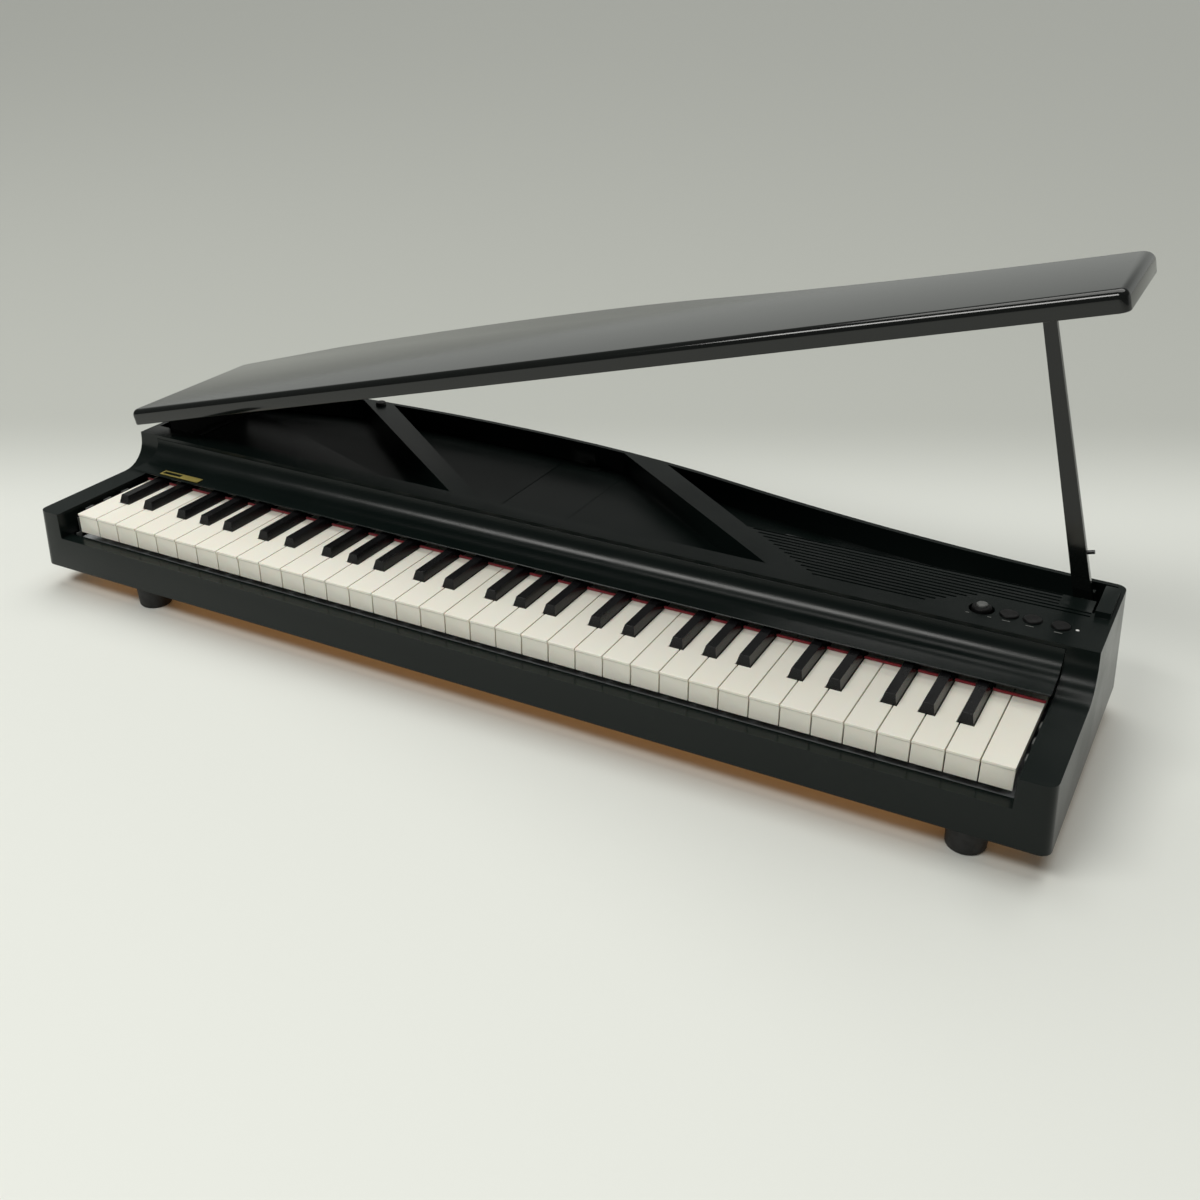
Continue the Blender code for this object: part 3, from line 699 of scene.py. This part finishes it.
def build_lid():
    """The lid as a shell open underneath. It returns the hinge point for its fittings."""
    outline = lid_outline()
    sections = [(0.5 * MM, LID_UNDER), (0.1 * MM, LID_UNDER + 0.3 * MM), (0.0, LID_UNDER + 0.7 * MM)]
    for i in range(9):
        angle = math.pi / 2 * i / 8
        inset = LID_ROUNDING * (1 - math.cos(angle))
        sections.append((inset, LID_TOP - LID_ROUNDING * (1 - math.sin(angle))))
    rings = []
    for inset, z in sections:
        rings.append([(LID_LEFT + x, y_at(d), z) for x, d in offset_outline(outline, inset)])
    bm = loft(rings)
    pivot = (LID_PIVOT[0], FRONT_Y, LID_PIVOT[1])
    shell = piece("lid_shell", bm, LACQUER, "lid", smooth=50)
    recess = [(LID_LEFT + x, d) for x, d in offset_outline(outline, LID_SKIRT)]
    hollow = upright(recess, LID_UNDER - 0.01, LID_UNDER + LID_RECESS)
    cut_out(shell, hollow)
    shell.data.transform(turn_about(pivot, -LID_ANGLE))
    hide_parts("lid")
    return pivot


# ---------------------------------------------------------------- controls and small parts

def build_knob():
    skirt = in_mm([
        (2.8, 79.0), (2.8, 87.0), (6.2, 87.0), (6.4, 88.0), (6.4, 93.6), (6.1, 94.4), (5.4, 94.9),
        (3.9, 95.2),
    ])
    grip = piece(
        "knob_grip", turned(KNOB_X, CONTROL_DEPTH, skirt, 96, 0.018, 24), CONTROL, "knob"
    )
    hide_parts("volume_knob")
    cap = in_mm([(3.6, 95.0), (3.6, 96.2), (3.3, 96.6), (2.8, 96.8), (0.8, 96.75)])
    piece("knob_cap", turned(KNOB_X, CONTROL_DEPTH, cap), CAP, "knob")


def build_buttons():
    profile = in_mm([
        (7.2, 87.0), (7.2, 88.6), (5.95, 88.6), (5.95, 93.1), (5.8, 93.6), (5.4, 93.95),
        (4.8, 94.0), (3.4, 93.8), (1.0, 93.6),
    ])
    for number, (body, x) in enumerate(BUTTONS, 1):
        name = f"push_button_{number}"
        obj = piece(name, turned(x, CONTROL_DEPTH, profile), CONTROL, body)
        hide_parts(f"{body}_button")


def build_lamp_lens():
    lens = in_mm([(1.2, 90.0), (1.2, 92.6), (0.9, 92.85), (0.4, 92.95)])
    piece("led_lens_cap", turned(LED_X, CONTROL_DEPTH, lens, 24), LENS, "case")


def build_name_plate():
    """A plain brass plate with a blank dark inlay at its left end, on the ledge."""
    x0, x1, d0, d1, z = -345 * MM, -305 * MM, 84.6 * MM, 91.6 * MM, 74.42 * MM
    rim, inlay_end = 1.5 * MM, -325 * MM
    plate = merge(
        block(x0, x1, d0, d0 + rim, z, z + 0.5 * MM),
        block(x0, x1, d1 - rim, d1, z, z + 0.5 * MM),
        block(x0, x0 + rim, d0 + rim, d1 - rim, z, z + 0.5 * MM),
        block(inlay_end, x1, d0 + rim, d1 - rim, z, z + 0.5 * MM),
    )
    piece("plate_frame", plate, BRASS, "case")
    field = block(x0 + rim, inlay_end, d0 + rim, d1 - rim, z, z + 0.3 * MM)
    piece("plate_field", field, SATIN, "case", 0.1 * MM)


def raised_bar(x, depth, length, width, z, height):
    return block(x - length / 2, x + length / 2, depth - width / 2, depth + width / 2, z, z + height)


def build_prints():
    """Short plain bars in place of the lettering in front of each control, and a pointer."""
    places = [(x, 5.0 * MM) for _, x in BUTTONS]
    places += [(KNOB_X + side * 7 * MM, 2.4 * MM) for side in (-1, 1)]
    bars = [raised_bar(x, MARK_DEPTH, length, MARK_WIDTH, RIM_TOP, 0.05 * MM) for x, length in places]
    piece("control_marks", merge(*bars), INK, "case")
    pointer = raised_bar(KNOB_X, CONTROL_DEPTH + 4.9 * MM, 0.7 * MM, 1.8 * MM, 94.9 * MM, 0.25 * MM)
    piece("knob_pointer", pointer, INK, "knob")


def build_latch():
    """The ribbed finger grip of the battery cover."""
    left, right = -43 * MM, -31 * MM
    grip = [block(left, right, 258.6 * MM, 261.0 * MM, DECK_TOP, DECK_TOP + 0.9 * MM)]
    for i in range(3):
        near = 262.2 * MM + i * 1.5 * MM
        far = near + 0.7 * MM
        grip.append(block(left + 1 * MM, right - 1 * MM, near, far, DECK_TOP, DECK_TOP + 0.6 * MM))
    piece("battery_grip", merge(*grip), SATIN, "battery_door", 0.15 * MM)


def build_bumper():
    """The round rubber stop on the left brace."""
    profile = in_mm([(4.5, 92.85), (4.6, 94.4), (4.0, 95.4), (2.6, 95.9), (0.8, 96.0)])
    piece("brace_bumper", turned(-253 * MM, 265 * MM, profile, 36), RUBBER, "case")


def build_lid_fittings(pivot):
    """Under the lid: the two cheeks of the prop's socket and the hinge leaf, with its screws."""
    ceiling = LID_UNDER + LID_RECESS
    x = LID_PIVOT[0] + PROP_SOCKET_REACH
    socket = merge(
        block(x - 9 * MM, x + 9 * MM, 185.6 * MM, 187.3 * MM, ceiling - 4.5 * MM, ceiling),
        block(x - 9 * MM, x + 9 * MM, 193.5 * MM, 195.2 * MM, ceiling - 4.5 * MM, ceiling),
    )
    tilt_with_lid(socket, pivot)
    piece("prop_socket", socket, SATIN, "lid", 0.5 * MM)
    left = LID_PIVOT[0] + 9 * MM
    leaf = block(left, left + 14 * MM, 150 * MM, 232 * MM, ceiling - 1.2 * MM, ceiling)
    tilt_with_lid(leaf, pivot)
    piece("hinge_leaf", leaf, BLACK_STEEL, "lid", 0.4 * MM)
    head = [
        (0.9 * MM, ceiling - 2.1 * MM), (2.4 * MM, ceiling - 1.9 * MM), (2.6 * MM, ceiling - 1.2 * MM),
    ]
    screws = merge(*[turned(left + 7 * MM, depth * MM, head, 20) for depth in (158, 191, 224)])
    tilt_with_lid(screws, pivot)
    piece("hinge_screws", screws, STEEL, "lid")


def collar(x, z, inner, outer, near, far, steps=36):
    """A ring about an axis along Y."""
    bm = bmesh.new()
    profile = [(inner, near), (outer, near), (outer, far - 0.3 * MM), (outer - 0.3 * MM, far), (inner, far)]
    rings = []
    for i in range(steps):
        a = 2 * math.pi * i / steps
        ring = [(x + r * math.cos(a), y_at(d), z + r * math.sin(a)) for r, d in profile]
        rings.append([bm.verts.new(point) for point in ring])
    for i in range(steps):
        here, there = rings[i], rings[(i + 1) % steps]
        for k in range(len(profile)):
            n = (k + 1) % len(profile)
            bm.faces.new((here[k], here[n], there[n], there[k]))
    return bm


def build_sockets():
    """The power and headphone sockets in the back, left of the middle."""
    x, z = DC_SOCKET_X, SOCKET_HEIGHT
    power_ring = collar(x, z, 2.6 * MM, 3.5 * MM, 268 * MM, 277.8 * MM)
    piece("dc_socket_ring", power_ring, CONTROL, "case")
    angles = [2 * math.pi * i / 16 for i in range(16)]
    pin_circle = [(x + 0.9 * MM * math.cos(a), z + 0.9 * MM * math.sin(a)) for a in angles]
    pin = crosswise(pin_circle, 262 * MM, 275.5 * MM)
    piece("dc_socket_pin", pin, STEEL, "case", 0.2 * MM)
    phone_ring = collar(PHONE_SOCKET_X, z, 1.9 * MM, 3.1 * MM, 268 * MM, 278.2 * MM)
    piece("phone_socket_ring", phone_ring, STEEL, "case")


def build_key_ends():
    """Light plastic ends of the key mechanism, seen in the gaps beside the outer keys."""
    for name, near_x, far_x in (("left", -372.6, -371.0), ("right", 369.6, 370.9)):
        parts = []
        for i in range(7):
            start = (18 + i * 9.5) * MM
            high = (56 + 4.5 * (i % 2)) * MM
            parts.append(block(near_x * MM, far_x * MM, start, start + 7.5 * MM, 26 * MM, high))
        parts.append(block(near_x * MM, far_x * MM, 14 * MM, 84 * MM, 25.5 * MM, 44 * MM))
        piece(f"mechanism_end_{name}", merge(*parts), CAP, "case", 0.3 * MM)


def helix(x, depth, z, radius, wire, length, turns, steps=14):
    """A coil of wire along Y."""
    rings = []
    count = turns * steps
    for i in range(count + 1):
        a = 2 * math.pi * i / steps
        y = y_at(depth + length * i / count)
        centre = Vector((x + radius * math.cos(a), y, z + radius * math.sin(a)))
        out = Vector((math.cos(a), 0, math.sin(a)))
        ring = []
        for k in range(6):
            b = 2 * math.pi * k / 6
            ring.append(centre + out * wire * math.cos(b) + Vector((0, wire * math.sin(b), 0)))
        rings.append(ring)
    return loft(rings)


def build_battery_contacts():
    """Springs and plates at the ends of the compartment, seen when its cover is lifted."""
    coils, plates = [], []
    for i in range(3):
        x = (-57 + i * 20) * MM
        coils.append(helix(x, 162.6 * MM, 62 * MM, 3.2 * MM, 0.35 * MM, 5.5 * MM, 5))
        plates.append(block(x - 5 * MM, x + 5 * MM, 260.2 * MM, 260.8 * MM, 55 * MM, 68 * MM))
    piece("contact_springs", merge(*coils), STEEL, "case")
    piece("contact_plates", merge(*plates), STEEL, "case", 0.15 * MM)


def build_base_screws():
    places = in_mm([
        (-350, 60), (-200, 20), (0, 20), (200, 20), (360, 60), (-350, 225), (-120, 255), (100, 235),
        (300, 205),
    ])
    head = in_mm([(0.9, 17.5), (3.0, 17.7), (3.4, 18.2), (3.4, 18.4)])
    heads = [turned(x, depth, head, 20) for x, depth in places]
    piece("base_screws", merge(*heads), BLACK_STEEL, "case")


def build_small_parts():
    refined("prop_stick", "prop_bar", LACQUER, 0.6 * MM, 3)
    refined("battery_cover", "battery_lid", SATIN, 0.6 * MM, 3)
    refined("lid_hinge", "hinge_strip", BLACK_STEEL, 0.2 * MM)
    for corner in ("front_left", "front_right", "back_left", "back_right"):
        refined(f"foot_{corner}", f"rubber_foot_{corner}", RUBBER, 0.3 * MM)
    refined("key_chassis", "key_tray", CHASSIS, 0.3 * MM)
    refined("speaker", "speaker_driver", PAPER, 0.2 * MM)
    refined("main_board", "circuit_board", CIRCUIT, 0.1 * MM)


forward = place_camera()
place_lights()
place_floor(forward)
build_case()
build_keys()
build_felt()
build_lid_fittings(build_lid())
build_knob()
build_buttons()
build_lamp_lens()
build_prints()
build_name_plate()
build_latch()
build_bumper()
build_sockets()
build_key_ends()
build_battery_contacts()
build_base_screws()
build_small_parts()
